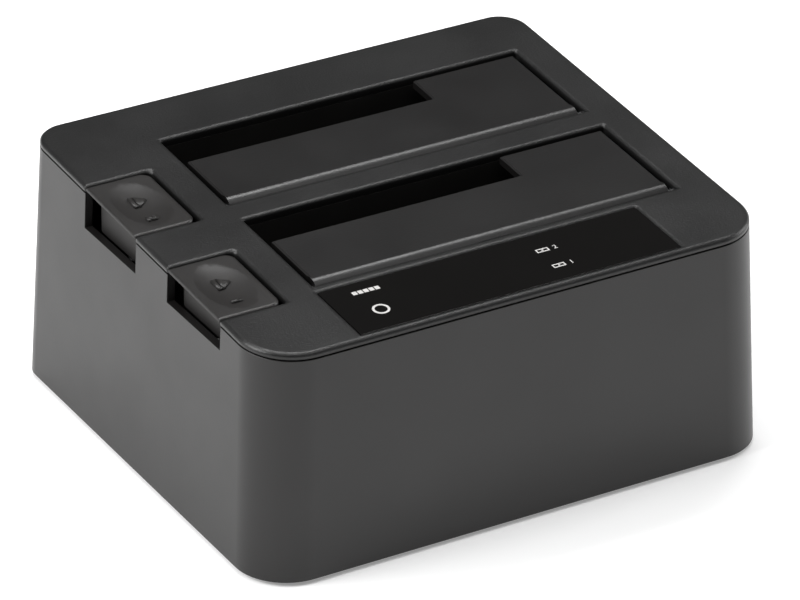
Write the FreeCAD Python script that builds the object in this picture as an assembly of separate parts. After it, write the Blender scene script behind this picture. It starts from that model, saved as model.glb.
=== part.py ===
import FreeCAD, Part
import math
import os
from FreeCAD import Placement, Rotation, Vector

os.makedirs("parts", exist_ok=True)

# A docking station that holds two bare hard drives upright. All sizes are in millimetres.
# X runs along the drive slots, Y from front to rear and Z up, from the surface it stands on.
# The housing's size follows from the bays and the margins around them.

# Drives that the bays take
drive_width = 101.6          # large drive, across
drive_thick = 26.1
small_drive_width = 69.85    # small drive, across
small_drive_thick = 9.5
drive_side_gap = 1.1         # beside a drive, in its slot
connector_from_side = 30.12  # drive's side to the middle of its connector, the same on both drives
connector_from_back = 3.5    # drive's lower face to the middle of its connector

# Bays, and the deck around them
left_margin = 27.2           # deck's left edge to the bays
right_margin = 10.4
front_margin = 26.2
rear_margin = 19.1
bay_bridge = 8.0             # deck between the two bays
barrel_radius = 3.6          # along a flap's front edge
barrel_gap = 0.4             # barrel to the front edge of the opening
drive_slack = 1.6            # beside a large drive, between the open flap and the rear wall
well_wall = 1.6
seat_height = 19.0           # where the end of a drive stands
opening_bevel = 0.45
tab_clear = 0.6              # screw's head to the wall of the well
front_tab_shift = 4.0        # keeps the front left tab clear of the button's catch

# Housing
deck_height = 64.3           # foot of the walls to the deck, at mid-depth
deck_rise = 0.047            # the deck climbs this much for each millimetre towards the rear
draft = 2.5                  # each wall leans out this far at its foot
front_corner = 14.0
rear_corner = 8.0
wall = 2.2
foot_stand = 1.0             # feet below the walls
cover_edge = 1.5             # cover's rim, seen from the side
cover_thick = 2.4
cover_bevel = 0.6
groove = 0.45                # open line between the cover and the walls
lip_drop = 5.0               # cover's inner lip, below the deck
lip_thick = 1.5
fit_gap = 0.15               # between two fixed pieces that locate each other

# Flaps
flap_thick = 2.2
flap_left_gap = 1.4
flap_right_gap = 1.75
flap_rear_gap = 1.5
flap_sink = 0.15             # top of the flap, below the deck
flap_bevel = 0.4
small_drive_end_gap = 1.35   # beyond a small drive, in the notch
small_drive_slack = 2.3      # beside its flat faces
rib_drop = 2.6
rib_thick = 1.2
flap_ribs = 4
flap_pin_radius = 1.2
running_gap = 0.05           # around a turning pin
stop_radius = 2.0            # barrel where it is cut back for the stop
stop_width = 5.0
stop_inset = 9.0             # stop to the end of the flap
stop_side_gap = 0.5
stop_gap = 0.25              # stop to the bottom of the barrel's cut
stop_top = 0.1               # top and underside of the stop, below the hinge line
stop_under = 0.9
stop_open = 300.0            # end of the cut around the barrel, in degrees from the rear
spring_room = 9.0            # gap in the middle of the barrel for the return spring
flap_wire = 0.25             # radius
flap_coil = 2.3              # pin's axis to the middle of the wire
flap_turns = 4
spring_end_gap = 0.5
spring_clear = 0.05          # around the return spring, inside the barrel

# Eject buttons
button_width = 17.1
button_length = 26.2
button_offset = -7.65        # middle of the button from the middle of its bay
button_gap = 0.35            # at both ends
button_inner_gap = 1.2
button_corner = 3.0
button_lip = 1.1
button_thick = 1.8
button_recess = 3.0          # side face, in from the lip
button_bevel = 0.4
button_travel = 5.0
skirt_thick = 1.6
side_notch_drop = 10.0       # floor of the side notch, below the deck at mid-depth
skirt_tuck = 0.8             # skirt behind the edge of the side notch
catch_width = 6.0            # catch that holds the button under the cover
catch_drop = 1.2
catch_reach = 1.4
catch_gap = 0.3
dish_length = 23.0
dish_width = 13.5
dish_depth = 0.9
stem_side = 4.0
stem_gap = 0.25
stem_root_radius = 5.0
stem_root_drop = 3.7

# Eject levers
lever_clear = 1.85           # lever's tube to the well
lever_reach = 11.5           # pivot to the tip of the lifter
pivot_height = 17.5
lever_pin_radius = 1.5
lever_tube_radius = 3.2
lever_tube_over = 1.0        # tube beyond the arm
lever_pad_radius = 2.5
lever_pad_rise = 1.67        # makes the lever turn in step with the button
lever_width = 6.0
arm_raise = 0.4              # underside of the arm, above the pad's
arm_trim = 1.6               # top of the arm, below the pad's
lifter_thick = 2.4
lifter_nose = 2.0
lifter_root = 2.56           # underside of the lifter at its root, below the pivot
lifter_drop = 0.3            # lifter below the seat, at rest
lifter_from_rear = 6.0       # middle of the lifter, from the rear edge of the opening
lifter_gap = 0.5             # around the lifter, in the well
lever_slack = 0.08
button_wire = 0.3            # radius
button_coil = 3.3
button_turns = 5
tower_side = 12.0
tower_top = 40.0
tower_head = 10.0
tower_wall = 2.0
ear_thick = 2.2
ear_gap = 0.3
frame_edge = 0.8             # frame beyond the lever's tube
frame_screw_reach = (-2.0, 5.0)  # from the stem

# Base
base_thick = 2.5
base_gap = 0.2
foot_radius = 6.0
foot_thick = 2.0
foot_inset = (20.7, 14.95)   # from the edges of the deck
post_radius = 3.5
post_inset = (8.2, 10.45)    # from the edges of the deck
base_boss_height = 4.0
boss_radius = 4.6
tab_thick = 2.0
tab_boss = 0.4               # boss over a well's tab, beyond the screw's head
screw_radius = 1.45
screw_head_radius = 2.7
screw_head = 1.6
screw_clear = 0.2
pilot_clear = 0.02
pilot_spare = 0.5            # pilot hole beyond the screw's tip
base_screw_length = 12.0
small_screw_radius = 1.0
small_head_radius = 1.9
small_head = 1.2
well_screw_length = 5.5
frame_screw_length = 3.2
board_screw_length = 5.5
light_screw_length = 4.5
vent_slots = 7
vent_width = 2.4
vent_length = 34.0
vent_pitch = 8.0

# Main board
board_left_gap = 3.15        # eject frames to the board
board_right_gap = 12.2       # board's other edges, from the edges of the deck
board_front_gap = 5.95
board_rear_gap = 1.45
board_thick = 1.6
board_stand = 4.5
board_screw_inset = (5.0, 6.5)
standoff_radius = 3.0
bridge_chip = (63.0, 59.5, 10.0)   # place from the board's front left corner, and side
power_chip = (47.0, 108.0, 7.0)
chip_height = 1.2
capacitor_row = (13.0, 22.0, 31.0)
inductor_row = (43.0, 53.0)
row_from_front = 9.0
capacitor_radius = 3.15
capacitor_height = 7.0
inductor_side = 7.0
inductor_height = 4.0
crystal_place = (73.5, 59.6)
crystal_size = (5.0, 3.2, 1.3)

# Drive connectors
plug_body = 40.0
plug_thick = 6.4
plug_bevel = 0.6
plug_slot = 2.4
plug_slot_depth = 6.0
signal_slot = 10.6
power_slot = 20.8
slot_bridge = 2.0
key_reach = 1.4
contact_pitch = 1.27
contact_width = 0.8
contact_thick = 0.3
contact_drop = 1.0           # top of a contact, below the seat
signal_contacts = 7
power_contacts = 15

# Sockets and switch in the rear wall
usb_place = 63.0             # from the board's left edge
usb_width = 12.0
usb_height = 12.9
usb_depth = 17.5
usb_shell = 0.4
usb_sink = 0.55              # shell's edge, inside the wall's face
usb_core_sink = 0.3
usb_mouth = 8.9
usb_mouth_height = 7.8
usb_mouth_rise = 1.7
usb_mouth_bevel = 1.6
usb_step_lap = 0.5
usb_upper_width = 6.4
usb_upper_height = 3.0
usb_tongue = 5.6
usb_tongue_thick = 3.2
usb_mouth_depth = 9.5
usb_strip = 1.0
usb_strip_thick = 0.2
usb_strip_place = 1.25       # from the middle of the tongue
usb_strip_sink = 2.0
port_clear = 0.4
jack_place = 88.0            # from the board's left edge
jack_width = 9.0
jack_height = 11.0
jack_depth = 14.0
jack_axis = 6.5              # above the board
jack_bore = 3.15
jack_pin = 1.0
jack_bore_depth = 9.5
switch_place = 18.0          # from the board's left edge
switch_side = 8.6
switch_depth = 12.0
power_cap = 6.4
power_cap_proud = 0.25
power_cap_depth = 5.0
power_cap_bevel = 0.5
power_travel = 2.0
power_stem = 2.4
power_gap = 0.3

# Indicator panel and its light board. Places are from the panel's front left corner, on the deck
panel_left_reach = 0.7       # beyond the left edge of the bays
panel_right_margin = 24.6    # from the edges of the deck
panel_front_margin = 1.75
panel_rear_gap = 2.75        # from the front bay
panel_recess = 0.9
panel_thick = 0.7
panel_bevel = 0.35
power_light = (10.1, 8.2)
rear_drive_light = (52.2, 14.0)
front_drive_light = (52.2, 6.5)
light_radius = 1.5
light_board_place = (5.2, 3.7)
light_board_size = (74.0, 13.0)
light_board_drop = 7.0
light_board_thick = 1.2
led_height = 1.2
led_side = 2.6
pipe_gap = 0.1
light_screw_row = (24.2, 64.2)
ribbon_place = 73.2
light_row = 10.2             # screws and ribbon, from the panel's front edge
ribbon_width = 8.0
ribbon_thick = 0.3
ribbon_socket_width = 11.0
ribbon_socket_depth = 3.0
ribbon_socket_height = 2.2

# Fineness
past = 1.0                   # how far a cutter runs past a face
near = 1e-3                  # faces and edges this close to a place lie on it
bar_sides = 8                # small fasteners, their holes and hidden bosses
spring_steps = 8             # in a turn
wire_sides = 3

# Derived sizes
slope = math.degrees(math.atan(deck_rise))
wall_foot = foot_stand
deck_middle = wall_foot + deck_height
bay_width = drive_width + 2 * drive_side_gap
bay_depth = barrel_gap + 2 * barrel_radius + drive_thick + drive_slack
deck_width = left_margin + bay_width + right_margin
deck_depth = front_margin + 2 * bay_depth + bay_bridge + rear_margin
half_width = deck_width / 2
half_depth = deck_depth / 2
bay_left = left_margin - half_width
bay_right = bay_left + bay_width
front_bay = front_margin - half_depth + bay_depth / 2
bays = (front_bay, front_bay + bay_depth + bay_bridge)
notch_width = drive_side_gap + small_drive_width + small_drive_end_gap
notch_depth = small_drive_thick + small_drive_slack
hinge_from_front = barrel_gap + barrel_radius
button_outer = -half_width
button_inner = button_outer + button_width
stem_place = button_outer + button_width / 2
side_notch_floor = deck_middle - side_notch_drop
spring_top = flap_coil + flap_wire + spring_clear
pivot_place = bay_left - well_wall - lever_clear - lever_tube_radius
frame_right = pivot_place + lever_tube_radius + frame_edge
base_top = wall_foot + base_thick
foot_recess = (foot_radius + screw_clear) / math.cos(math.pi / bar_sides)
foot_place = (half_width - foot_inset[0], half_depth - foot_inset[1])
post_place = (half_width - post_inset[0], half_depth - post_inset[1])
board_left = frame_right + board_left_gap
board_right = half_width - board_right_gap
board_front = board_front_gap - half_depth
board_rear = half_depth - board_rear_gap
board_under = base_top + board_stand
board_top = board_under + board_thick
panel_left = bay_left - panel_left_reach
panel_right = half_width - panel_right_margin
panel_front = panel_front_margin - half_depth
panel_rear = front_margin - half_depth - panel_rear_gap


def deck_z(y):
    """Height of the deck at a distance along Y."""
    return deck_middle + deck_rise * y


def wall_lean(z):
    """How far the walls lean out at a height, beyond the outline of the deck."""
    return draft * (1 - (z - wall_foot) / deck_height)


def box(x0, x1, y0, y1, z0, z1):
    """Block between three pairs of coordinates."""
    return Part.makeBox(x1 - x0, y1 - y0, z1 - z0, Vector(x0, y0, z0))


def block(x, y, width, depth, z0, z1):
    """Block around a place."""
    return box(x - width / 2, x + width / 2, y - depth / 2, y + depth / 2, z0, z1)


def post(x, y, z0, z1, radius):
    """Upright cylinder."""
    return Part.makeCylinder(radius, z1 - z0, Vector(x, y, z0))


def along_x(x0, x1, y, z, radius):
    """Cylinder along X."""
    return Part.makeCylinder(radius, x1 - x0, Vector(x0, y, z), Vector(1, 0, 0))


def along_y(y0, y1, x, z, radius):
    """Cylinder along Y."""
    return Part.makeCylinder(radius, y1 - y0, Vector(x, y0, z), Vector(0, 1, 0))


def moved(shape, placement):
    """Copy of a shape carried along by a placement."""
    copy = shape.copy()
    copy.Placement = placement.multiply(copy.Placement)
    return copy


def on_deck(shape, y=0.0):
    """Move a shape drawn on a level plane at zero onto the sloping deck."""
    return moved(shape, Placement(Vector(0, y, deck_z(y)), Rotation(Vector(1, 0, 0), slope)))


def fuse(shapes):
    """One solid from several that meet."""
    return shapes[0].multiFuse(shapes[1:]).removeSplitter()


def prism(points, start, sweep):
    """Straight-sided solid on a polygon, whose points are vectors from a start."""
    corners = [start + p for p in points]
    return Part.Face(Part.makePolygon(corners + corners[:1])).extrude(sweep)


def rising(shape):
    """Edges that run up from one height to another."""
    return [e for e in shape.Edges if abs(e.Vertexes[0].Z - e.Vertexes[-1].Z) > near]


def frustum(middle, half_width, half_depth, z0, z1, spread, front_radius, rear_radius):
    """Block whose sides lean out by a spread towards its top, with rounded or square corners."""
    high_width = half_width + spread
    high_depth = half_depth + spread
    solid = Part.makeWedge(-half_width, 0, -half_depth, -high_depth, -high_width,
                           half_width, z1 - z0, half_depth, high_depth, high_width)
    solid.rotate(Vector(0, 0, 0), Vector(1, 0, 0), 90)
    if front_radius:
        solid = solid.makeFillet(front_radius, [e for e in rising(solid) if e.BoundBox.YMax < 0])
    if rear_radius:
        solid = solid.makeFillet(rear_radius, [e for e in rising(solid) if e.BoundBox.YMin > 0])
    solid.translate(middle + Vector(0, 0, z0))
    return solid


def plate(x0, x1, y0, y1, z0, z1, corner=0.0, spread=0.0):
    """Block with a radius at its upright corners, which can widen by a spread towards its top."""
    middle = Vector((x0 + x1) / 2, (y0 + y1) / 2, 0)
    return frustum(middle, (x1 - x0) / 2, (y1 - y0) / 2, z0, z1, spread, corner, corner)


def housing_form(inset=0.0):
    """The housing's tapering outer form, or the same form set in from it all round."""
    rise = deck_height + lip_drop
    return frustum(Vector(0, 0, 0), half_width + draft - inset, half_depth + draft - inset,
                   wall_foot, wall_foot + rise, -draft * rise / deck_height,
                   front_corner - inset, rear_corner - inset)


def below_deck(top, bottom=4 * deck_width):
    """Space between two planes that follow the deck, at two depths below it."""
    reach = deck_width
    side = [Vector(0, -reach, deck_z(-reach) - bottom), Vector(0, reach, deck_z(reach) - bottom),
            Vector(0, reach, deck_z(reach) - top), Vector(0, -reach, deck_z(-reach) - top)]
    return prism(side, Vector(-reach, 0, 0), Vector(2 * reach, 0, 0))


def bar(radius, length, start, way):
    """Many-sided upright bar, for small fasteners, their holes and hidden bosses."""
    turns = [2 * math.pi * i / bar_sides for i in range(bar_sides)]
    ring = [Vector(radius * math.cos(a), radius * math.sin(a), 0) for a in turns]
    return prism(ring, start, way * length)


def boss(x, y, z0, z1, radius):
    """Upright bar between two heights, as a boss or as the cutter of a screw's hole."""
    return bar(radius, z1 - z0, Vector(x, y, z0), Vector(0, 0, 1))


def screw(x, y, z, way, length, radius, head_radius, head):
    """Pan-head screw that points up (1) or down (-1). Its head bears at z."""
    seat = Vector(x, y, z)
    point = Vector(0, 0, way)
    stem = bar(radius, length, seat, point)
    return stem.fuse(bar(head_radius, head, seat, point * -1)).removeSplitter()


def small_screw(x, y, z, way, length):
    """The smaller of the two kinds of screw."""
    return screw(x, y, z, way, length, small_screw_radius, small_head_radius, small_head)


def coil(radius, wire, length, turns, start, axis):
    """Coil spring from a start along an axis, with the wire's middle on the given radius."""
    steps = turns * spring_steps
    sections = []
    for i in range(steps + 1):
        turn = 2 * math.pi * i / spring_steps
        rise = wire + (length - 2 * wire) * i / steps
        ring = []
        for k in range(wire_sides + 1):
            around = 2 * math.pi * k / wire_sides
            out = radius + wire * math.cos(around)
            up = rise + wire * math.sin(around)
            ring.append(Vector(out * math.cos(turn), out * math.sin(turn), up))
        sections.append(Part.makePolygon(ring))
    spring = Part.makeLoft(sections, True, True)
    return moved(spring, Placement(start, Rotation(Vector(0, 0, 1), axis)))


def corner_places(place):
    """A place mirrored to all four corners."""
    return [(x, y) for x in (-place[0], place[0]) for y in (-place[1], place[1])]


# ---------------------------------------------------------------- bays

def bay_front(middle):
    return middle - bay_depth / 2


def bay_rear(middle):
    return middle + bay_depth / 2


def hinge_line(middle):
    """Y and Z of a flap's hinge."""
    y = bay_front(middle) + hinge_from_front
    return y, deck_z(y) - (barrel_radius + flap_sink) / math.cos(math.radians(slope))


def on_hinge(shape, middle):
    """Move a shape drawn about the X axis, flap level, to a flap's hinge."""
    y, z = hinge_line(middle)
    return moved(shape, Placement(Vector(0, y, z), Rotation(Vector(1, 0, 0), slope)))


def connector_place(middle):
    """X and Y of the middle of a bay's connector."""
    x = bay_left + drive_side_gap + connector_from_side
    return x, bay_rear(middle) - drive_slack / 2 - connector_from_back


def lifter_line(middle):
    """Y of the middle of a bay's lifter."""
    return bay_rear(middle) - lifter_from_rear


def flap_stops():
    """X of the two stops of a flap."""
    return bay_left + flap_left_gap + stop_inset, bay_right - flap_right_gap - stop_inset


def spring_gap():
    """X range of the gap in a flap's barrel for its spring."""
    place = (bay_left + bay_right) / 2
    return place - spring_room / 2, place + spring_room / 2


def bay_flap(middle):
    """Hinged lid of a bay: a barrel along its front edge and a notch for a small drive."""
    left = bay_left + flap_left_gap
    right = bay_right - flap_right_gap
    length = bay_depth - hinge_from_front - flap_rear_gap
    under = barrel_radius - flap_thick
    notch_front = bay_depth - hinge_from_front - notch_depth
    sheet = box(left, right, 0, length, under, barrel_radius)
    sheet = sheet.cut(box(left - past, bay_left + notch_width, notch_front, length + past,
                          0, barrel_radius + past))
    rims = [e for e in sheet.Edges if e.BoundBox.ZMin > barrel_radius - near and e.BoundBox.YMax > near]
    sheet = sheet.makeChamfer(flap_bevel, rims)
    parts = [sheet, along_x(left, right, 0, 0, barrel_radius)]
    rib_step = (right - left - rib_thick) / (flap_ribs - 1)
    rib_end = notch_front - rib_thick
    side = [Vector(0, 0, barrel_radius - past), Vector(0, rib_end, barrel_radius - past),
            Vector(0, rib_end, under), Vector(0, barrel_radius, under - rib_drop),
            Vector(0, 0, under - rib_drop)]
    for i in range(flap_ribs):
        parts.append(prism(side, Vector(left + i * rib_step, 0, 0), Vector(rib_thick, 0, 0)))
    flap = fuse(parts)
    flap = flap.cut(along_x(left - past, right + past, 0, 0, flap_pin_radius + running_gap))
    room_left, room_right = spring_gap()
    flap = flap.cut(box(room_left, room_right, -2 * barrel_radius, barrel_radius, -2 * barrel_radius, 0))
    flap = flap.cut(box(room_left, room_right, -spring_top, spring_top, -past, spring_top))
    for place in flap_stops():
        flap = flap.cut(stop_cut(place))
    return on_hinge(flap, middle)


def stop_cut(place):
    """Sector cut from a barrel's lower front, in which a fixed stop stands."""
    reach = 2 * barrel_radius
    far = math.radians(stop_open)
    corners = [Vector(0, 0, 0), Vector(0, -reach, 0), Vector(0, -reach, -reach),
               Vector(0, reach * math.cos(far), reach * math.sin(far))]
    sector = prism(corners, Vector(place - stop_width / 2, 0, 0), Vector(stop_width, 0, 0))
    return sector.cut(along_x(place - stop_width, place + stop_width, 0, 0, stop_radius))


def stop_rib(place, middle):
    """Stop on the well's front wall that reaches into the barrel's cut."""
    half = stop_width / 2 - stop_side_gap
    rib = box(place - half, place + half, -hinge_from_front - well_wall / 2,
              -stop_radius - stop_gap, -stop_under, -stop_top)
    return on_hinge(rib, middle)


def bay_well(middle):
    """Tub that guides a drive down to its connector, and carries the flap's pin."""
    front, rear = bay_front(middle), bay_rear(middle)
    floor = seat_height - well_wall
    top = deck_z(rear) + past
    left_wall, right_wall = bay_left - well_wall, bay_right + well_wall
    outer = box(left_wall, right_wall, front - well_wall, rear + well_wall, floor, top)
    inner = box(bay_left, bay_right, front, rear, seat_height, top + past)
    parts = [outer.cut(inner)]
    for x in flap_stops():
        parts.append(stop_rib(x, middle))
    for x, y in well_tabs(middle):
        height = tab_height(middle)
        toward = bay_left if x < 0 else bay_right
        x0 = min(x - small_head_radius, toward)
        x1 = max(x + small_head_radius, toward)
        tab = box(x0, x1, y - small_head_radius, y + small_head_radius, height - tab_thick, height)
        parts.append(tab.cut(inner))
    well = fuse(parts).common(below_deck(cover_thick))
    pin_y, pin_z = hinge_line(middle)
    saddle = along_x(left_wall - past, right_wall + past, pin_y, pin_z, flap_pin_radius)
    throat = box(left_wall - past, right_wall + past, pin_y - flap_pin_radius,
                 pin_y + flap_pin_radius, pin_z, deck_z(pin_y))
    well = well.cut(saddle).cut(throat)
    x, y = connector_place(middle)
    around = block(x, y, plug_body + 2 * port_clear, plug_thick + 2 * port_clear,
                   floor - past, seat_height + past)
    well = well.cut(around)
    y = lifter_line(middle)
    half = lever_width / 2 + lifter_gap
    well = well.cut(box(left_wall - past, pivot_place + lever_reach + frame_edge, y - half, y + half,
                        floor - past, seat_height + past))
    well = well.cut(box(left_wall - past, bay_left + past / 2, y - half, y + half,
                        floor - past, seat_height + button_travel))
    for x, y in well_tabs(middle):
        well = well.cut(boss(x, y, 0, deck_z(y), small_screw_radius + screw_clear))
    return well


def tab_height(middle):
    """Top of the tabs that hang a well from the cover."""
    return deck_z(middle) - lip_drop - tab_thick


def well_tabs(middle):
    """Four places where a well is screwed to the cover."""
    left = bay_left - well_wall - small_head_radius - tab_clear
    right = bay_right + well_wall + small_head_radius + tab_clear
    reach = bay_depth / 2 - small_head_radius
    return [(left, middle + reach), (left, middle - reach + front_tab_shift),
            (right, middle + reach), (right, middle - reach)]


def flap_pin(middle):
    """Steel rod that a flap turns on."""
    y, z = hinge_line(middle)
    return along_x(bay_left - well_wall, bay_right + well_wall, y, z, flap_pin_radius)


def flap_spring(middle):
    """Torsion spring around the pin that closes a flap."""
    y, z = hinge_line(middle)
    start, end = spring_gap()
    length = end - start - 2 * spring_end_gap
    place = Vector(start + spring_end_gap, y, z)
    return coil(flap_coil, flap_wire, length, flap_turns, place, Vector(1, 0, 0))


# ---------------------------------------------------------------- eject buttons

def button_line(middle):
    """Y of the middle of a bay's button."""
    return middle + button_offset


def button_hole(middle):
    """Y range of the opening around a button."""
    y = button_line(middle)
    half = button_length / 2 + button_gap
    return y - half, y + half


def eject_button(middle):
    """Push button flush with the deck: a dished cap, a skirt, two catches and a stem."""
    y = button_line(middle)
    half = button_length / 2
    lid = plate(button_outer - 2 * button_corner, button_inner, -half, half,
                -button_thick, -flap_sink, button_corner)
    lid = lid.makeChamfer(button_bevel, [e for e in lid.Edges if e.BoundBox.ZMin > -flap_sink - near])
    lip = box(button_outer - past, button_outer + button_recess, -half - past, half + past,
              -button_thick - past, -button_lip)
    low = side_notch_floor - skirt_tuck
    outer = plate(button_outer + button_recess, button_inner, y - half, y + half, low,
                  deck_z(y), button_corner)
    inner = box(button_outer + button_recess + skirt_thick, button_inner - skirt_thick,
                y - half + skirt_thick, y + half - skirt_thick, low - past, deck_z(y) + past)
    under = below_deck(button_thick / 2)
    root_low = deck_z(y) - stem_root_drop
    root = boss(stem_place, y, root_low, deck_z(y), stem_root_radius)
    stem_low = pivot_height + lever_pad_rise + lever_pad_radius + lever_slack
    stem = block(stem_place, y, stem_side, stem_side, stem_low, root_low + past)
    parts = [on_deck(lid.cut(lip), y), outer.cut(inner).common(under), root.common(under), stem]
    catch_top = cover_thick + catch_gap
    for end in (-1, 1):
        inside = y + end * (half - skirt_thick)
        outside = y + end * (half + catch_reach)
        catch = block(stem_place, (inside + outside) / 2, catch_width, abs(outside - inside),
                      low, deck_z(y))
        parts.append(catch.common(below_deck(catch_top, catch_top + catch_drop)))
    button = fuse(parts)
    along = (dish_length ** 2 / 4 + dish_depth ** 2) / (2 * dish_depth)
    across = (dish_width ** 2 / 4 + dish_depth ** 2) / (2 * dish_depth)
    centre = Vector(stem_place, 0, along - dish_depth - flap_sink)
    dish = Part.makeTorus(along - across, across, centre, Vector(1, 0, 0))
    return button.cut(on_deck(dish, y)).common(housing_form())


def button_spring(middle):
    """Spring that lifts a button from the head of its tower."""
    y = button_line(middle)
    length = deck_z(y) - stem_root_drop - tower_top
    start = Vector(stem_place, y, tower_top)
    return coil(button_coil, button_wire, length, button_turns, start, Vector(0, 0, 1))


def lever_ends(middle):
    """Y of the two ends of a lever's tube."""
    half = lever_width / 2
    return button_line(middle) - half - lever_tube_over, lifter_line(middle) + half


def eject_lever(middle):
    """Rocker under a button: the stem presses its pad down and its lifter raises the drive."""
    low, high = lever_ends(middle)
    tube = along_y(low, high, pivot_place, pivot_height, lever_tube_radius)
    y = button_line(middle)
    half = lever_width / 2
    pad_z = pivot_height + lever_pad_rise
    pad = along_y(y - half, y + half, stem_place, pad_z, lever_pad_radius)
    arm = box(stem_place, pivot_place, y - half, y + half,
              pivot_height - lever_pad_radius + arm_raise, pad_z + lever_pad_radius - arm_trim)
    y = lifter_line(middle)
    lifter_top = seat_height - lifter_drop
    tip = pivot_place + lever_reach
    side = [Vector(pivot_place, 0, lifter_top), Vector(tip, 0, lifter_top),
            Vector(tip, 0, lifter_top - lifter_thick / 2),
            Vector(tip - lifter_nose, 0, lifter_top - lifter_thick),
            Vector(pivot_place, 0, pivot_height - lifter_root)]
    lifter = prism(side, Vector(0, y - half, 0), Vector(0, lever_width, 0))
    lever = fuse([tube, pad, arm, lifter])
    return lever.cut(along_y(low - past, high + past, pivot_place, pivot_height,
                             lever_pin_radius + running_gap))


def frame_ears(middle):
    """Y ranges of the two ears that hold a lever's pin."""
    low, high = lever_ends(middle)
    return (low - ear_gap - ear_thick, low - ear_gap), (high + ear_gap, high + ear_gap + ear_thick)


def lever_pin(middle):
    """Steel rod that a lever turns on."""
    ears = frame_ears(middle)
    return along_y(ears[0][0], ears[1][1], pivot_place, pivot_height, lever_pin_radius)


def frame_screw_places(middle):
    """Two places where an eject frame is screwed to the base."""
    y = lifter_line(middle)
    return [(stem_place + reach, y) for reach in frame_screw_reach]


def eject_frame(middle):
    """Moulded bracket with the ears of the lever's pin and the tower that guides the stem."""
    ears = frame_ears(middle)
    y = button_line(middle)
    left = stem_place - tower_side / 2
    tower_front = y - tower_side / 2
    sole_top = base_top + tab_thick
    sole = box(left, frame_right, min(tower_front, ears[0][0]), ears[1][1], base_top, sole_top)
    parts = [sole]
    half = lever_tube_radius
    side = [Vector(-half, 0, base_top), Vector(half, 0, base_top), Vector(half, 0, pivot_height),
            Vector(half / 2, 0, pivot_height + half), Vector(-half / 2, 0, pivot_height + half),
            Vector(-half, 0, pivot_height)]
    for low, high in ears:
        parts.append(prism(side, Vector(pivot_place, low, 0), Vector(0, high - low, 0)))
    tower = block(stem_place, y, tower_side, tower_side, base_top, tower_top)
    room = block(stem_place, y, tower_side + 2 * past, tower_side - 2 * tower_wall,
                 sole_top, tower_top - tower_head)
    hole = stem_side + 2 * stem_gap
    shaft = block(stem_place, y, hole, hole, sole_top, tower_top + past)
    parts.append(tower.cut(room).cut(shaft))
    frame = fuse(parts)
    frame = frame.cut(along_y(ears[0][0] - past, ears[1][1] + past, pivot_place, pivot_height,
                              lever_pin_radius))
    for x, y in frame_screw_places(middle):
        frame = frame.cut(boss(x, y, 0, sole_top + past, small_screw_radius + pilot_clear))
    return frame


# ---------------------------------------------------------------- housing

def top_cover():
    """Sloping deck with the bay openings, the button openings and the panel's recess."""
    rim = housing_form().common(below_deck(0.0, cover_edge))
    on_top = [e for e in rim.Edges if all(abs(v.Z - deck_z(v.Y)) < near for v in e.Vertexes)]
    rim = rim.makeChamfer(cover_bevel, on_top)
    inside = housing_form(wall + fit_gap)
    ring = inside.cut(housing_form(wall + fit_gap + lip_thick))
    lip = ring.common(below_deck(cover_edge / 2, lip_drop))
    for middle in bays:
        front, rear = button_hole(middle)
        lip = lip.cut(box(-deck_width, button_inner + button_inner_gap, front - 2 * past,
                          rear + 2 * past, 0, 2 * deck_height))
    parts = [rim, inside.common(below_deck(cover_edge / 2, cover_thick)), lip]
    under = below_deck(cover_edge)
    for x, y in corner_places(post_place):
        parts.append(boss(x, y, housing_tab_top(), deck_z(y), post_radius).common(under))
    for middle in bays:
        for x, y in well_tabs(middle):
            radius = small_head_radius + tab_boss
            parts.append(boss(x, y, tab_height(middle), deck_z(y), radius).common(under))
    cover = fuse(parts)
    for middle in bays:
        cover = cover.cut(bay_opening(middle)).cut(button_opening(middle))
        for x, y in well_tabs(middle):
            tip = tab_height(middle) - tab_thick + well_screw_length
            cover = cover.cut(boss(x, y, 0, tip + pilot_spare, small_screw_radius + pilot_clear))
    for x, y in corner_places(post_place):
        tip = base_screw_seat() + base_screw_length
        cover = cover.cut(boss(x, y, 0, tip + pilot_spare, screw_radius + pilot_clear))
    recess = box(panel_left, panel_right, panel_front, panel_rear, -panel_recess, 2 * past)
    bevel = plate(panel_left, panel_right, panel_front, panel_rear, -panel_bevel, past,
                  spread=panel_bevel + past)
    cover = cover.cut(on_deck(recess)).cut(on_deck(bevel))
    for x, y in light_places():
        cover = cover.cut(on_deck(boss(x, y, -cover_thick - past, 0, light_radius)))
    for x, y in light_screw_places():
        stand = boss(x, y, -light_board_drop, -panel_recess - past, small_head_radius + tab_boss)
        hole = boss(x, y, -light_board_drop - past, -cover_thick, small_screw_radius + pilot_clear)
        cover = cover.fuse(on_deck(stand)).cut(on_deck(hole))
    return cover


def bevelled_hole(x0, x1, y0, y1, corner=0.0):
    """Cutter for a hole through the cover, with a bevel around its upper edge."""
    hole = plate(x0, x1, y0, y1, -2 * lip_drop, -opening_bevel, corner)
    bevel = plate(x0, x1, y0, y1, -opening_bevel, past, corner, opening_bevel + past)
    return hole.fuse(bevel)


def bay_opening(middle):
    """Cutter for the opening of a bay."""
    half = bay_depth / 2
    return on_deck(bevelled_hole(bay_left, bay_right, -half, half), middle)


def button_opening(middle):
    """Cutter for a button's opening, which runs out through the left edge."""
    half = button_length / 2 + button_gap
    hole = bevelled_hole(button_outer - 4 * button_corner, button_inner + button_inner_gap,
                         -half, half, button_corner / 2)
    return on_deck(hole, button_line(middle))


def housing_tab_top():
    """Top of the tabs inside the walls, which the cover's posts stand on."""
    return wall_foot + base_boss_height + tab_thick


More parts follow.
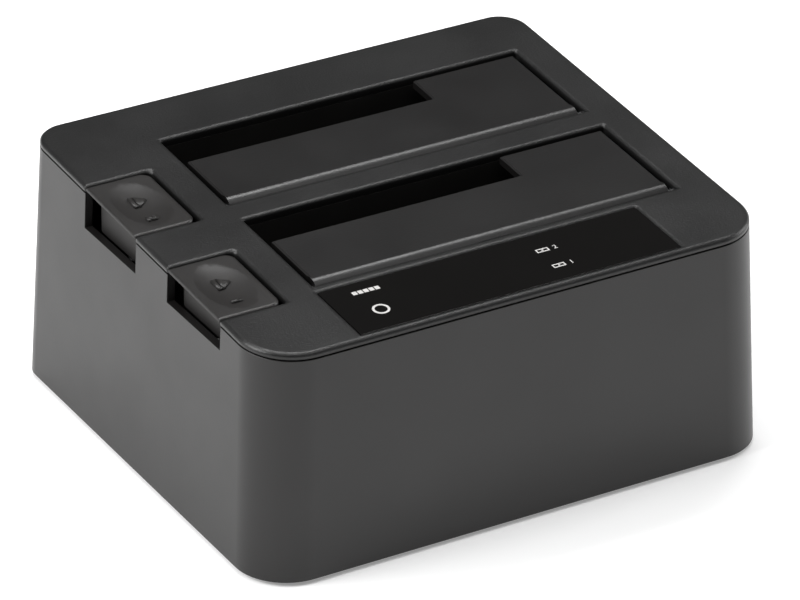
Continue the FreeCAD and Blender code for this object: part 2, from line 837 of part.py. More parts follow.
def side_housing():
    """Four walls in one piece, notched under the buttons and pierced for the rear sockets."""
    ring = housing_form().cut(housing_form(wall))
    parts = [ring.common(below_deck(cover_edge + groove))]
    tab_top = housing_tab_top()
    for x, y in corner_places(post_place):
        side = math.copysign(deck_width, x)
        web = box(min(x, side), max(x, side), y - boss_radius, y + boss_radius,
                  tab_top - tab_thick, tab_top)
        end = boss(x, y, tab_top - tab_thick, tab_top, boss_radius)
        parts.append(web.fuse(end).common(housing_form(wall / 2)))
    housing = fuse(parts)
    for middle in bays:
        front, rear = button_hole(middle)
        housing = housing.cut(box(-deck_width, button_inner, front, rear, side_notch_floor,
                                  2 * deck_height))
    for x, y in corner_places(post_place):
        housing = housing.cut(boss(x, y, 0, tab_top + past, screw_radius + screw_clear))
    deep = deck_depth
    inside = half_depth - 2 * wall
    x = board_left + usb_place
    reach = usb_width / 2 + port_clear
    housing = housing.cut(box(x - reach, x + reach, inside, deep, board_top - port_clear,
                              board_top + usb_height + port_clear))
    housing = housing.cut(along_y(inside, deep, board_left + jack_place, board_top + jack_axis,
                                  jack_bore + port_clear))
    x, z = power_button_place()
    hole = power_cap / 2 + power_gap
    return housing.cut(box(x - hole, x + hole, inside, deep, z - hole, z + hole))


def base_plate():
    """Floor of the housing: recesses for feet and screws, standoffs for the board, air slots."""
    level = box(-deck_width, deck_width, -deck_depth, deck_depth, wall_foot, base_top)
    boss_top = wall_foot + base_boss_height
    parts = [housing_form(wall + base_gap).common(level)]
    for x, y in corner_places(post_place):
        parts.append(boss(x, y, wall_foot, boss_top, boss_radius))
    for x, y in board_screw_places():
        parts.append(boss(x, y, wall_foot, board_under, standoff_radius))
    base = fuse(parts)
    for x, y in corner_places(post_place):
        base = base.cut(boss(x, y, 0, boss_top + past, screw_radius + screw_clear))
        base = base.cut(boss(x, y, 0, base_screw_seat(), screw_head_radius + screw_clear))
    for x, y in corner_places(foot_place):
        base = base.cut(boss(x, y, 0, foot_thick, foot_recess))
    for x, y in board_screw_places():
        base = base.cut(boss(x, y, base_top, board_under + past, small_screw_radius + pilot_clear))
    for middle in bays:
        for x, y in frame_screw_places(middle):
            base = base.cut(boss(x, y, 0, base_top + past, small_screw_radius + screw_clear))
            base = base.cut(boss(x, y, 0, wall_foot + small_head, small_head_radius + screw_clear))
    first = -vent_pitch * (vent_slots - 1) / 2
    for i in range(vent_slots):
        base = base.cut(block(first + i * vent_pitch, 0, vent_width, vent_length, 0, base_top + past))
    return base


def base_screw_seat():
    """Where the heads of the base screws bear."""
    return wall_foot + base_boss_height / 2


def base_screws():
    """Screws that hold base, walls and cover together."""
    seat = base_screw_seat()
    return [screw(x, y, seat, 1, base_screw_length, screw_radius, screw_head_radius, screw_head)
            for x, y in corner_places(post_place)]


def rubber_feet():
    """Four round feet in the base's recesses."""
    return [post(x, y, 0, foot_thick, foot_radius) for x, y in corner_places(foot_place)]


def well_screws():
    """Screws that hang the wells from the cover."""
    return [small_screw(x, y, tab_height(middle) - tab_thick, 1, well_screw_length)
            for middle in bays for x, y in well_tabs(middle)]


def frame_screws():
    """Screws that hold the eject frames to the base."""
    return [small_screw(x, y, wall_foot + small_head, 1, frame_screw_length)
            for middle in bays for x, y in frame_screw_places(middle)]


# ---------------------------------------------------------------- electronics

def board_screw_places():
    """Four places where the main board is screwed to its standoffs."""
    side, end = board_screw_inset
    return [(x, y) for x in (board_left + side, board_right - side)
            for y in (board_front + end, board_rear - end)]


def main_board():
    """Circuit board on the base's standoffs."""
    board = box(board_left, board_right, board_front, board_rear, board_under, board_top)
    for x, y in board_screw_places():
        board = board.cut(boss(x, y, board_under - past, board_top + past,
                               small_screw_radius + screw_clear))
    return board


def board_screws():
    """Screws of the main board."""
    return [small_screw(x, y, board_top, -1, board_screw_length) for x, y in board_screw_places()]


def plug_slots(middle):
    """X ranges of a connector's signal and power slots."""
    x, _ = connector_place(middle)
    signal = x - (signal_slot + slot_bridge + power_slot) / 2
    power = signal + signal_slot + slot_bridge
    return (signal, signal + signal_slot), (power, power + power_slot)


def drive_connector(middle):
    """Upright combined signal and power connector with two keyed slots."""
    x, y = connector_place(middle)
    body = block(x, y, plug_body, plug_thick, board_top, seat_height)
    body = body.makeChamfer(plug_bevel, rising(body))
    bottom = seat_height - plug_slot_depth
    half = plug_slot / 2
    slots = plug_slots(middle)
    for left, right in slots:
        body = body.cut(box(left, right, y - half, y + half, bottom, seat_height + past))
    for left in (slots[0][0], slots[1][1] - key_reach):
        body = body.cut(box(left, left + key_reach, y - half - key_reach / 2, y, bottom,
                            seat_height + past))
    return body


def drive_contacts(middle):
    """Contact blades along one side of the connector's slots."""
    _, y = connector_place(middle)
    face = y + plug_slot / 2
    blades = []
    for (left, right), count in zip(plug_slots(middle), (signal_contacts, power_contacts)):
        first = (left + right) / 2 - contact_pitch * (count - 1) / 2
        for i in range(count):
            blades.append(block(first + i * contact_pitch, face - contact_thick / 2, contact_width,
                                contact_thick, seat_height - plug_slot_depth,
                                seat_height - contact_drop))
    return blades


def usb_reach():
    """Y of the edge of the data socket's shell."""
    return half_depth + wall_lean(board_top + usb_height / 2) - usb_sink


def usb_box(shrink, front, rear):
    """Block with the outline of the data socket, or one set in from it."""
    half = usb_width / 2 - shrink
    x = board_left + usb_place
    return box(x - half, x + half, front, rear, board_top + shrink, board_top + usb_height - shrink)


def usb_shell_piece():
    """Folded metal shell of the data socket."""
    front = usb_reach() - usb_depth
    inner = usb_box(usb_shell, front + usb_shell, usb_reach() + past)
    return usb_box(0.0, front, usb_reach()).cut(inner)


def usb_tongue_line():
    """Z of the middle of the data socket's tongue."""
    return board_top + usb_mouth_rise + usb_mouth_height / 2


def usb_insert():
    """Plastic core of the data socket: a stepped mouth with a contact tongue in it."""
    rear = usb_reach()
    floor = rear - usb_mouth_depth
    x = board_left + usb_place
    core = usb_box(usb_shell, rear - usb_depth + usb_shell, rear - usb_core_sink)
    half = usb_mouth / 2
    inner = half - usb_mouth_bevel
    side = [Vector(-half, 0, 0), Vector(half, 0, 0),
            Vector(half, 0, usb_mouth_height - usb_mouth_bevel), Vector(inner, 0, usb_mouth_height),
            Vector(-inner, 0, usb_mouth_height),
            Vector(-half, 0, usb_mouth_height - usb_mouth_bevel)]
    low = board_top + usb_mouth_rise
    mouth = prism(side, Vector(x, floor, low), Vector(0, usb_mouth_depth + past, 0))
    step_low = low + usb_mouth_height - usb_step_lap
    step = box(x - usb_upper_width / 2, x + usb_upper_width / 2, floor, rear + past,
               step_low, step_low + usb_upper_height)
    half = usb_tongue_thick / 2
    middle = usb_tongue_line()
    tongue = box(x - usb_tongue / 2, x + usb_tongue / 2, floor - past, rear - past,
                 middle - half, middle + half)
    return core.cut(mouth.fuse(step)).fuse(tongue).removeSplitter()


def usb_contacts():
    """Two contacts above and two below the tongue."""
    rear = usb_reach()
    strips = []
    for x in (-usb_strip_place, usb_strip_place):
        for way in (-1, 1):
            face = usb_tongue_line() + way * usb_tongue_thick / 2
            far = face + way * usb_strip_thick
            middle = board_left + usb_place + x
            strips.append(box(middle - usb_strip / 2, middle + usb_strip / 2, rear - usb_mouth_depth,
                              rear - usb_strip_sink, min(face, far), max(face, far)))
    return strips


def jack_face():
    """Y of the power jack's face, just inside the rear wall."""
    return half_depth + wall_lean(board_top + jack_height) - wall - fit_gap


def jack_body():
    """Barrel jack for the power supply."""
    rear = jack_face()
    x = board_left + jack_place
    body = box(x - jack_width / 2, x + jack_width / 2, rear - jack_depth, rear,
               board_top, board_top + jack_height)
    return body.cut(along_y(rear - jack_bore_depth, rear + past, x, board_top + jack_axis, jack_bore))


def jack_pin_piece():
    """Centre pin of the barrel jack."""
    start = Vector(board_left + jack_place, jack_face() - jack_bore_depth, board_top + jack_axis)
    pin = bar(jack_pin, jack_bore_depth - past, Vector(0, 0, 0), Vector(0, 0, 1))
    return moved(pin, Placement(start, Rotation(Vector(1, 0, 0), -90)))


def power_button_place():
    """X and Z of the middle of the power button."""
    return board_left + switch_place, board_top + switch_side / 2


def power_cap_face():
    """Y of the power button's face."""
    return half_depth + wall_lean(power_button_place()[1]) + power_cap_proud


def switch_face():
    """Y of the face of the switch behind the power button."""
    return power_cap_face() - power_cap_depth - power_travel - power_gap


def power_switch():
    """Push switch on the board, hollow for the button's stem."""
    x, _ = power_button_place()
    rear = switch_face()
    body = box(x - switch_side / 2, x + switch_side / 2, rear - switch_depth, rear,
               board_top, board_top + switch_side)
    hole = power_stem / 2 + stem_gap
    low = board_top + switch_side / 2 - hole
    return body.cut(box(x - hole, x + hole, rear - switch_depth / 2 - power_travel, rear + past,
                        low, low + 2 * hole))


def power_button():
    """Square cap in the rear wall, with a stem that runs into the switch."""
    x, z = power_button_place()
    face = power_cap_face()
    front = face - power_cap_depth
    half = power_cap / 2
    cap = box(x - half, x + half, front, face, z - half, z + half)
    cap = cap.makeChamfer(power_cap_bevel, [e for e in cap.Edges if e.BoundBox.YMin > face - near])
    half = power_stem / 2
    stem = box(x - half, x + half, switch_face() - switch_depth / 2, front + past, z - half, z + half)
    return cap.fuse(stem).removeSplitter()


def light_places():
    """Places of the three lights under the panel, on the deck."""
    return [(panel_left + x, panel_front + y)
            for x, y in (power_light, rear_drive_light, front_drive_light)]


def light_screw_places():
    """Two places where the light board is screwed to the cover, on the deck."""
    return [(panel_left + x, panel_front + light_row) for x in light_screw_row]


def indicator_panel():
    """Glossy inlay in the deck that the lights shine through."""
    return on_deck(box(panel_left + fit_gap, panel_right - fit_gap, panel_front + fit_gap,
                       panel_rear - fit_gap, -panel_recess, panel_thick - panel_recess))


def light_board():
    """Small circuit board under the panel."""
    left = panel_left + light_board_place[0]
    front = panel_front + light_board_place[1]
    board = box(left, left + light_board_size[0], front, front + light_board_size[1],
                -light_board_drop - light_board_thick, -light_board_drop)
    for x, y in light_screw_places():
        board = board.cut(boss(x, y, -2 * light_board_drop, 0, small_screw_radius + screw_clear))
    return on_deck(board)


def light_screws():
    """Screws of the light board."""
    seat = -light_board_drop - light_board_thick
    return [on_deck(small_screw(x, y, seat, 1, light_screw_length)) for x, y in light_screw_places()]


def panel_lights():
    """Three lamps on the light board."""
    return [on_deck(block(x, y, led_side, led_side, -light_board_drop, led_height - light_board_drop))
            for x, y in light_places()]


def light_pipes():
    """Clear rods that carry the light up to the panel."""
    low = led_height - light_board_drop + pipe_gap
    return [on_deck(boss(x, y, low, -panel_recess, light_radius)) for x, y in light_places()]


def ribbon_middle():
    """X and Y of the ribbon."""
    return panel_left + ribbon_place, panel_front + light_row


def ribbon_ends():
    """Z of the ribbon's two ends: on the main board and under the light board."""
    _, y = ribbon_middle()
    return board_top, deck_z(y) - light_board_drop - light_board_thick


def ribbon_slot():
    """Space that the ribbon fills, half-way into both of its sockets."""
    x, y = ribbon_middle()
    low, high = ribbon_ends()
    return block(x, y, ribbon_width, ribbon_thick, low + ribbon_socket_height / 2,
                 high - ribbon_socket_height / 2)


def ribbon_sockets():
    """Two sockets for the ribbon, the upper one upside down."""
    x, y = ribbon_middle()
    low, high = ribbon_ends()
    lower = block(x, y, ribbon_socket_width, ribbon_socket_depth, low, low + ribbon_socket_height)
    upper = block(x, y, ribbon_socket_width, ribbon_socket_depth, high - ribbon_socket_height,
                  high + past)
    upper = upper.common(below_deck(light_board_drop + light_board_thick + fit_gap))
    return [lower.cut(ribbon_slot()), upper.cut(ribbon_slot())]


def bridge_chips():
    """The two processors on the main board."""
    return [block(board_left + x, board_front + y, side, side, board_top, board_top + chip_height)
            for x, y, side in (bridge_chip, power_chip)]


def capacitors():
    """Three cans at the front of the main board."""
    y = board_front + row_from_front
    return [boss(board_left + x, y, board_top, board_top + capacitor_height, capacitor_radius)
            for x in capacitor_row]


def inductors():
    """Two inductors beside the capacitors."""
    y = board_front + row_from_front
    return [block(board_left + x, y, inductor_side, inductor_side, board_top,
                  board_top + inductor_height) for x in inductor_row]


def crystal():
    """Clock crystal beside the larger processor."""
    length, width, height = crystal_size
    return block(board_left + crystal_place[0], board_front + crystal_place[1], length, width,
                 board_top, board_top + height)


# ---------------------------------------------------------------- pieces

pieces = {
    "top_cover": [top_cover()],
    "side_housing": [side_housing()],
    "base_plate": [base_plate()],
    "rubber_feet": rubber_feet(),
    "base_screws": base_screws(),
    "well_screws": well_screws(),
    "frame_screws": frame_screws(),
    "main_board": [main_board()],
    "board_screws": board_screws(),
    "usb_shell": [usb_shell_piece()],
    "usb_insert": [usb_insert()],
    "usb_contacts": usb_contacts(),
    "jack_body": [jack_body()],
    "jack_pin": [jack_pin_piece()],
    "power_switch": [power_switch()],
    "power_button": [power_button()],
    "indicator_panel": [indicator_panel()],
    "light_board": [light_board()],
    "light_screws": light_screws(),
    "panel_lights": panel_lights(),
    "light_pipes": light_pipes(),
    "ribbon_sockets": ribbon_sockets(),
    "ribbon_cable": [ribbon_slot()],
    "bridge_chips": bridge_chips(),
    "capacitors": capacitors(),
    "inductors": inductors(),
    "crystal": [crystal()],
}
for number, middle in enumerate(bays, 1):
    pieces[f"bay_well_{number}"] = [bay_well(middle)]
    pieces[f"bay_flap_{number}"] = [bay_flap(middle)]
    pieces[f"flap_pin_{number}"] = [flap_pin(middle)]
    pieces[f"flap_spring_{number}"] = [flap_spring(middle)]
    pieces[f"eject_button_{number}"] = [eject_button(middle)]
    pieces[f"button_spring_{number}"] = [button_spring(middle)]
    pieces[f"eject_lever_{number}"] = [eject_lever(middle)]
    pieces[f"lever_pin_{number}"] = [lever_pin(middle)]
    pieces[f"eject_frame_{number}"] = [eject_frame(middle)]
    pieces[f"drive_connector_{number}"] = [drive_connector(middle)]
    pieces[f"drive_contacts_{number}"] = drive_contacts(middle)

for name, solids in pieces.items():
    shape = solids[0] if len(solids) == 1 else Part.makeCompound(solids)
    shape.exportStep(f"parts/{name}.step")
    print(f"{name:20s} solids {len(shape.Solids):2d} valid {shape.isValid()} volume {shape.Volume:10.2f}")
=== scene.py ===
import math

import bpy
from mathutils import Matrix, Vector
from mathutils.bvhtree import BVHTree


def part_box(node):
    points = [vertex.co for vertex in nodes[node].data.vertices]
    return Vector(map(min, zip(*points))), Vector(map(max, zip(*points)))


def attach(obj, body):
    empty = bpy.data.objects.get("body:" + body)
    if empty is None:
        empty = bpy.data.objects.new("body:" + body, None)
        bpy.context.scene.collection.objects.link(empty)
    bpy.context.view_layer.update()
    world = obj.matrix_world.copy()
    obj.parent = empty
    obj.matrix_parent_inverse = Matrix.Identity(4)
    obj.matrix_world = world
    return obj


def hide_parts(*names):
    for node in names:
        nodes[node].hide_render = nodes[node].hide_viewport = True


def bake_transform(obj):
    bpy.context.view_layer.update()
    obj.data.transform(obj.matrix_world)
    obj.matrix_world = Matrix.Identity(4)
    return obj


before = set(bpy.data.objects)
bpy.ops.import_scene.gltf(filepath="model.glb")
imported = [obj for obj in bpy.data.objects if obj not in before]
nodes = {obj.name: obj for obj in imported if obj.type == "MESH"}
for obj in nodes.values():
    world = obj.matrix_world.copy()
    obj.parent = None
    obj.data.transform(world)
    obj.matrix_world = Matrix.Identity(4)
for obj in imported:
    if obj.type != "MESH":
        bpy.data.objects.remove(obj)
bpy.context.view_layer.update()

BAYS = (1, 2)
NOISE_LOW, NOISE_HIGH = 0.3, 0.7        # range that most of a noise texture's values lie in
SHARP_ANGLE = math.radians(32)          # steeper edges are bevelled
FLAT_ANGLE = math.radians(1)            # facets nearer to flat than this are merged
WELD_DISTANCE = 2e-6


# ---------------------------------------------------------------- materials

class Nodes:
    """Short calls for building a material's node tree."""

    def __init__(self, name):
        self.material = bpy.data.materials.new(name)
        self.material.use_nodes = True
        self.tree = self.material.node_tree
        self.shader = self.tree.nodes["Principled BSDF"]
        self.place = self.tree.nodes.new("ShaderNodeTexCoord").outputs["Object"]

    def add(self, kind, inputs=None, **settings):
        node = self.tree.nodes.new("ShaderNode" + kind)
        for key, value in settings.items():
            setattr(node, key, value)
        for key, value in (inputs or {}).items():
            self.set(node.inputs[key], value)
        return node

    def set(self, socket, value):
        if isinstance(value, bpy.types.NodeSocket):
            self.tree.links.new(value, socket)
        else:
            socket.default_value = value

    def noise(self, size, detail=2.0, roughness=0.5):
        """Noise whose grains are about size metres across."""
        return self.add("TexNoise", {"Vector": self.place, "Scale": 1 / size, "Detail": detail,
                                     "Roughness": roughness}).outputs["Fac"]

    def span(self, value, low, high):
        """Noise, or another value in its range, stretched to run from low to high."""
        return self.add("MapRange", {"Value": value, "From Min": NOISE_LOW, "From Max": NOISE_HIGH,
                                     "To Min": low, "To Max": high}).outputs["Result"]

    def mix(self, factor, first, second):
        node = self.add("Mix", data_type="RGBA")
        self.set(node.inputs[0], factor)
        self.set(node.inputs[6], first)
        self.set(node.inputs[7], second)
        return node.outputs[2]

    def bump(self, height, distance, normal=None):
        inputs = {"Height": height, "Distance": distance}
        if normal:
            inputs["Normal"] = normal
        return self.add("Bump", inputs).outputs["Normal"]


def rgba(colour):
    return (*colour, 1.0)


def scaled(colour, factor):
    return rgba([c * factor for c in colour])


def plastic(name, colour, rough, grain=0.0005, grain_height=0.00001, cloud=0.05, rough_spread=0.05,
            specular=0.5, side_rough=None, edge=0.0):
    """Moulded plastic: a spark-eroded grain and faint clouding.

    With side_rough, upright faces are rougher. With edge, a radius, edges catch light as if rounded."""
    n = Nodes(name)
    clouds = n.noise(0.02, 3.0)
    fine = n.noise(grain, 2.0, 0.6)
    shade = n.mix(n.span(clouds, 0, 1), scaled(colour, 1 - cloud), scaled(colour, 1 + cloud))
    speck = n.mix(n.span(fine, 0, 1), scaled(colour, 1 - 2 * cloud), scaled(colour, 1 + 2 * cloud))
    n.set(n.shader.inputs["Base Color"], n.mix(0.5, shade, speck))
    roughness = n.span(clouds, rough - rough_spread, rough + rough_spread)
    if side_rough:
        facing = n.add("SeparateXYZ", {"Vector": n.add("NewGeometry").outputs["Normal"]}).outputs["Z"]
        upright = n.span(facing, 1.0, 0.0)
        extra = n.add("Math", {0: upright, 1: side_rough - rough}, operation="MULTIPLY")
        total = n.add("Math", {0: roughness, 1: extra.outputs["Value"]}, operation="ADD")
        roughness = total.outputs["Value"]
    n.set(n.shader.inputs["Roughness"], roughness)
    n.shader.inputs["Specular IOR Level"].default_value = specular
    rounded = n.add("Bevel", {"Radius": edge}, samples=8).outputs["Normal"] if edge else None
    n.set(n.shader.inputs["Normal"], n.bump(fine, grain_height, normal=rounded))
    return n.material


def metal(name, colour, rough, brush=0.0002):
    """Drawn or plated metal with fine streaks."""
    n = Nodes(name)
    streak = n.noise(brush, 4.0)
    n.set(n.shader.inputs["Base Color"], n.mix(n.span(streak, 0, 1), scaled(colour, 0.9), rgba(colour)))
    n.set(n.shader.inputs["Roughness"], n.span(streak, rough, rough + 0.12))
    n.shader.inputs["Metallic"].default_value = 1.0
    n.set(n.shader.inputs["Normal"], n.bump(streak, 0.000004))
    return n.material


MATERIALS = {
    "cover_plastic": plastic("cover plastic", (0.008, 0.008, 0.008), 0.34, 0.0006, 0.00007,
                             cloud=0.1, rough_spread=0.03, specular=0.45, edge=0.0013),
    "flap_plastic": plastic("flap plastic", (0.006, 0.0056, 0.0056), 0.31, 0.0006, 0.00003,
                            cloud=0.1, rough_spread=0.02, specular=0.45),
    "housing_plastic": plastic("housing plastic", (0.008, 0.0072, 0.007), 0.36, 0.0006, 0.00001,
                               cloud=0.04, rough_spread=0.03),
    "button_plastic": plastic("button plastic", (0.014, 0.013, 0.0125), 0.34, 0.0006, 0.000008,
                              cloud=0.04, rough_spread=0.03, side_rough=0.6, edge=0.001),
    "panel_gloss": plastic("panel gloss", (0.0025, 0.0022, 0.002), 0.12, 0.004, 0.000002,
                           cloud=0.02, rough_spread=0.02, specular=0.35),
    "base_plastic": plastic("base plastic", (0.02, 0.02, 0.021), 0.5, 0.0006, 0.00004),
    "well_plastic": plastic("well plastic", (0.006, 0.0055, 0.005), 0.5, 0.0006, 0.00003),
    "lever_plastic": plastic("lever plastic", (0.5, 0.5, 0.48), 0.4, 0.0008, 0.00001, 0.02),
    "foot_rubber": plastic("foot rubber", (0.02, 0.02, 0.02), 0.75, 0.0008, 0.00004),
    "board_green": plastic("solder resist", (0.01, 0.09, 0.04), 0.3, 0.002, 0.00001, 0.1),
    "connector_plastic": plastic("connector plastic", (0.015, 0.015, 0.015), 0.4),
    "socket_core": plastic("socket core", (0.01, 0.06, 0.35), 0.3),
    "chip_black": plastic("chip epoxy", (0.015, 0.015, 0.016), 0.5, 0.0003, 0.00002),
    "ferrite": plastic("ferrite", (0.1, 0.1, 0.1), 0.5),
    "light_white": plastic("lamp body", (0.8, 0.8, 0.76), 0.4),
    "light_guide": plastic("light guide", (0.6, 0.62, 0.64), 0.15),
    "ribbon_white": plastic("ribbon film", (0.75, 0.75, 0.73), 0.35),
    "steel": metal("steel", (0.6, 0.6, 0.61), 0.25),
    "spring_steel": metal("spring steel", (0.48, 0.48, 0.48), 0.3),
    "contact_gold": metal("contact gold", (0.83, 0.62, 0.25), 0.2),
    "socket_shell": metal("socket shell", (0.68, 0.68, 0.68), 0.22),
    "can_aluminium": metal("can aluminium", (0.75, 0.75, 0.76), 0.25),
}

for node in nodes.values():
    for slot in node.material_slots:
        slot.material = MATERIALS[slot.material.name.split(".")[0]]


# ---------------------------------------------------------------- moulded edges

def smooth_shading():
    """Geometry nodes that shade a mesh smooth and forget its facets' sharp edges."""
    group = bpy.data.node_groups.new("smooth shading", "GeometryNodeTree")
    for way in ("INPUT", "OUTPUT"):
        group.interface.new_socket("Geometry", in_out=way, socket_type="NodeSocketGeometry")
    last = group.nodes.new("NodeGroupInput").outputs[0]
    for domain in ("FACE", "EDGE"):
        step = group.nodes.new("GeometryNodeSetShadeSmooth")
        step.domain = domain
        group.links.new(last, step.inputs["Geometry"])
        last = step.outputs["Geometry"]
    group.links.new(last, group.nodes.new("NodeGroupOutput").inputs[0])
    return group


SMOOTH = smooth_shading()


def soften(node_name, width, merge=True):
    """Rounds a CAD node's sharp edges by a small radius, as moulding does.

    Flat facets are merged first, except on a node whose faces have holes."""
    piece = nodes[node_name]
    piece.modifiers.new("weld", "WELD").merge_threshold = WELD_DISTANCE
    if merge:
        flat = piece.modifiers.new("flat faces", "DECIMATE")
        flat.decimate_type = "DISSOLVE"
        flat.angle_limit = FLAT_ANGLE
    piece.modifiers.new("smooth", "NODES").node_group = SMOOTH
    bevel = piece.modifiers.new("edge", "BEVEL")
    bevel.limit_method = "ANGLE"
    bevel.angle_limit = SHARP_ANGLE
    bevel.width = width
    bevel.segments = 3
    bevel.miter_outer = "MITER_ARC"
    shade = piece.modifiers.new("flat shading", "WEIGHTED_NORMAL")
    shade.weight = 100         # large faces stay flat
    shade.keep_sharp = True


soften("top_cover", 0.0003, merge=False)
soften("side_housing", 0.00012)
soften("indicator_panel", 0.0001)
for bay in BAYS:
    soften(f"bay_flap_{bay}", 0.0004)
    soften(f"eject_button_{bay}", 0.0003)


# ---------------------------------------------------------------- springs

def press_spring(bay):
    """Coil under an eject button, copied from the CAD spring, whose own node is hidden."""
    node_name = f"button_spring_{bay}"
    coil = bpy.data.objects.new(f"button_coil_{bay}", nodes[node_name].data.copy())
    bpy.context.scene.collection.objects.link(coil)
    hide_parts(node_name)
    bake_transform(coil)


for bay in BAYS:
    press_spring(bay)


# ---------------------------------------------------------------- marks

def surface(node_name, x, y):
    """Place and normal of a node's upper surface."""
    mesh = nodes[node_name].data
    tree = BVHTree.FromPolygons([v.co for v in mesh.vertices], [p.vertices[:] for p in mesh.polygons])
    spot, normal, _, _ = tree.ray_cast(Vector((x, y, 1.0)), Vector((0, 0, -1)))
    return spot, normal


def flat_outline(points, holes=()):
    """Filled outline in the plane, as a curve whose later loops are holes."""
    curve = bpy.data.curves.new("outline", "CURVE")
    curve.dimensions = "2D"
    curve.fill_mode = "BOTH"
    for loop in (points, *holes):
        spline = curve.splines.new("POLY")
        spline.points.add(len(loop) - 1)
        for point, (x, y) in zip(spline.points, loop):
            point.co = (x, y, 0, 1)
        spline.use_cyclic_u = True
    return curve


def mark(name, curve, node_name, x, y, body, material, height, sink, turn=0.0):
    """Thin raised mark on a node's upper surface, tilted with the surface and sunk a little into it."""
    curve.extrude = height / 2
    curve.bevel_depth = height / 4
    curve.bevel_resolution = 2
    spot, normal = surface(node_name, x, y)
    tilt = Vector((0, 0, 1)).rotation_difference(normal).to_matrix().to_4x4()
    lift = Matrix.Translation((0, 0, height / 2 - sink))
    drawing = bpy.data.objects.new("drawing", curve)
    bpy.context.scene.collection.objects.link(drawing)
    drawing.matrix_world = Matrix.Translation(spot) @ tilt @ lift @ Matrix.Rotation(turn, 4, "Z")
    evaluated = drawing.evaluated_get(bpy.context.evaluated_depsgraph_get())
    mesh = bpy.data.meshes.new_from_object(evaluated)
    mesh.materials.clear()
    mesh.materials.append(material)
    piece = bpy.data.objects.new(name, mesh)
    bpy.context.scene.collection.objects.link(piece)
    piece.matrix_world = drawing.matrix_world
    bpy.data.objects.remove(drawing)
    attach(piece, body)


def circle(radius, steps=40):
    return [(radius * math.cos(2 * math.pi * i / steps), radius * math.sin(2 * math.pi * i / steps))
            for i in range(steps)]


def bar(width, height):
    x, y = width / 2, height / 2
    return [(-x, -y), (x, -y), (x, y), (-x, y)]


def numeral(text, size):
    curve = bpy.data.curves.new("numeral", "FONT")
    curve.body = text
    curve.size = size
    curve.align_x = "CENTER"
    curve.align_y = "CENTER"
    return curve


def row(outline, count, pitch):
    """Copies of an outline side by side, centred."""
    return [[(x + (i - (count - 1) / 2) * pitch, y) for x, y in outline] for i in range(count)]


PRINT = plastic("pad print", (0.5, 0.49, 0.48), 0.5, grain=0.0002, grain_height=0.000004, cloud=0.08)
PRINT_HEIGHT, PRINT_SINK = 0.00006, 0.00002
RAISED_HEIGHT, RAISED_SINK = 0.0006, 0.0001
panel_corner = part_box("indicator_panel")[0]


def panel_mark(name, curve, x, y):
    """Printed mark on the panel, placed from the panel's front left corner."""
    mark(name, curve, "indicator_panel", panel_corner.x + x, panel_corner.y + y, "housing",
         PRINT, PRINT_HEIGHT, PRINT_SINK)


level_bars = row(bar(0.0012, 0.0014), 5, 0.00155)
panel_mark("power_ring", flat_outline(circle(0.0022), [circle(0.0016)]), 0.01008, 0.00809)
panel_mark("power_level", flat_outline(level_bars[0], level_bars[1:]), 0.01097, 0.01705)
for bay, y in zip(BAYS, (0.00618, 0.01398)):
    drive = flat_outline(bar(0.0034, 0.0015), [bar(0.0028, 0.0009), circle(0.00028, 12)])
    panel_mark(f"bay_mark_{bay}", numeral(str(bay), 0.0022), 0.0624, y)
    panel_mark(f"drive_mark_{bay}", drive, 0.0588, y)


def button_mark(name, curve, bay, x, y):
    """Raised mark on a button, read from the dock's left side, placed from its rear left corner."""
    low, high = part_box(f"eject_button_{bay}")
    mark(name, curve, f"eject_button_{bay}", low.x + x, high.y - y, f"button_{bay}",
         MATERIALS["button_plastic"], RAISED_HEIGHT, RAISED_SINK, math.radians(-90))


ARROW = [(-0.002, 0), (0.002, 0), (0, 0.0026)]
for bay in BAYS:
    button_mark(f"button_number_{bay}", numeral(str(bay), 0.0042), bay, 0.0078, 0.0215)
    button_mark(f"eject_arrow_{bay}", flat_outline(ARROW), bay, 0.0083, 0.0125)
    button_mark(f"eject_line_{bay}", flat_outline(bar(0.004, 0.0008)), bay, 0.0073, 0.0125)


# ---------------------------------------------------------------- room, lights and camera

FLOOR_CAMERA_GLOW = 0.26     # lifts the lit floor to white, and leaves the shadow
FLOOR_GLOSSY_GLOW = 0.2      # the floor's light in the walls' reflections
ROOM_LIGHT = 0.1             # the world as a light
ROOM_BACKGROUND = 1.0        # the world as the camera sees it, where 1 is white


def floor_material():
    """White to the camera and in reflections, with the shadow kept."""
    n = Nodes("floor")
    n.shader.inputs["Base Color"].default_value = (0.8, 0.8, 0.8, 1)
    n.shader.inputs["Roughness"].default_value = 0.9
    n.shader.inputs["Specular IOR Level"].default_value = 0.0
    n.shader.inputs["Emission Color"].default_value = (1, 1, 1, 1)
    rays = n.add("LightPath").outputs
    seen = n.add("Math", {0: rays["Is Camera Ray"], 1: FLOOR_CAMERA_GLOW}, operation="MULTIPLY")
    glossy = n.add("Math", {0: rays["Is Glossy Ray"], 1: FLOOR_GLOSSY_GLOW}, operation="MULTIPLY")
    glow = n.add("Math", {0: seen.outputs["Value"], 1: glossy.outputs["Value"]}, operation="ADD")
    n.set(n.shader.inputs["Emission Strength"], glow.outputs["Value"])
    return n.material


bpy.ops.mesh.primitive_plane_add(size=6.0, location=(0, 0, -0.0002))
floor = bpy.context.object
floor.name = "floor"
floor.data.materials.append(floor_material())

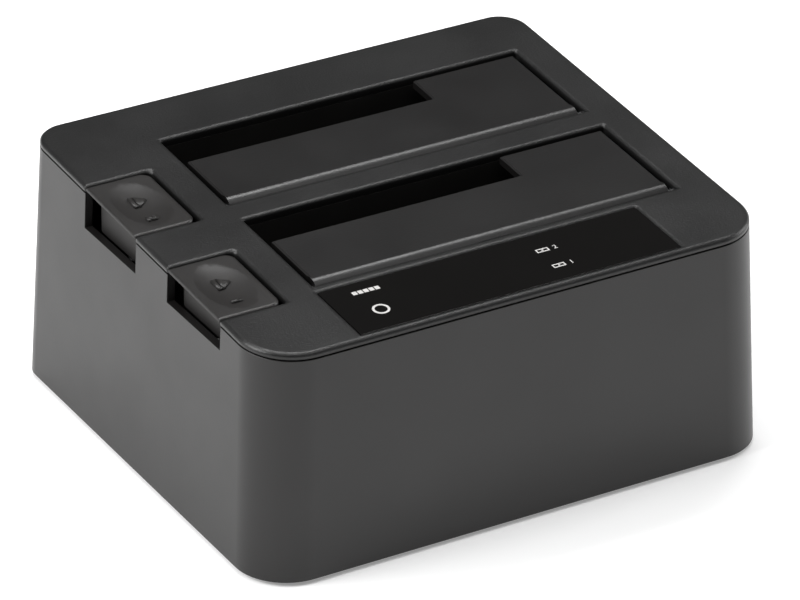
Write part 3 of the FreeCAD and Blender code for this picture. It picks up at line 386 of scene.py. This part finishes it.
world = bpy.data.worlds.new("studio")
bpy.context.scene.world = world
world.use_nodes = True
tree = world.node_tree
background = tree.nodes["Background"]
path = tree.nodes.new("ShaderNodeLightPath")
level = tree.nodes.new("ShaderNodeMapRange")
level.inputs["To Min"].default_value = ROOM_LIGHT
level.inputs["To Max"].default_value = ROOM_BACKGROUND
background.inputs["Color"].default_value = (1, 1, 1, 1)
tree.links.new(path.outputs["Is Camera Ray"], level.inputs["Value"])
tree.links.new(level.outputs["Result"], background.inputs["Strength"])


def soft_light(name, place, aim, width, height, power):
    """Rectangular soft box that faces a point."""
    data = bpy.data.lights.new(name, "AREA")
    data.shape = "RECTANGLE"
    data.size = width
    data.size_y = height
    data.energy = power
    light = bpy.data.objects.new(name, data)
    bpy.context.scene.collection.objects.link(light)
    light.location = place
    way = Vector(aim) - Vector(place)
    light.rotation_euler = way.to_track_quat("-Z", "Y").to_euler()


soft_light("key box", (0.2, 0.35, 0.95), (0.2, 0.35, 0), 0.75, 0.26, 7.0)
soft_light("overhead box", (0.0, -0.3, 1.25), (0, 0, 0), 1.2, 1.0, 7.0)
soft_light("left box", (-1.1, 0.2, 0.9), (0, 0, 0.03), 0.8, 0.8, 20.0)
soft_light("right box", (1.2, -0.1, 0.5), (0, 0, 0.03), 0.6, 0.6, 6.0)

CAMERA_AZIMUTH = math.radians(-30.308)
CAMERA_ELEVATION = math.radians(29.128)
CAMERA_ROLL = math.radians(0.613)
CAMERA_DISTANCE = 1.452134
CAMERA_ACROSS = 0.001329
CAMERA_UP = -0.002071
CAMERA_AIM = Vector((0, 0, 0.033))
CAMERA_LENS = 260.16         # millimetres, on a sensor 36 wide

back = Vector((math.sin(CAMERA_AZIMUTH) * math.cos(CAMERA_ELEVATION),
               -math.cos(CAMERA_AZIMUTH) * math.cos(CAMERA_ELEVATION), math.sin(CAMERA_ELEVATION)))
level_right = Vector((0, 0, 1)).cross(back).normalized()
level_up = back.cross(level_right)
right = level_right * math.cos(CAMERA_ROLL) + level_up * math.sin(CAMERA_ROLL)
up = level_up * math.cos(CAMERA_ROLL) - level_right * math.sin(CAMERA_ROLL)
camera_data = bpy.data.cameras.new("camera")
camera_data.sensor_width = 36.0
camera_data.lens = CAMERA_LENS
camera = bpy.data.objects.new("camera", camera_data)
bpy.context.scene.collection.objects.link(camera)
place = CAMERA_AIM + back * CAMERA_DISTANCE + right * CAMERA_ACROSS + up * CAMERA_UP
camera.matrix_world = Matrix.Translation(place) @ Matrix((right, up, back)).transposed().to_4x4()
bpy.context.scene.camera = camera
bpy.context.scene.view_settings.view_transform = "Standard"
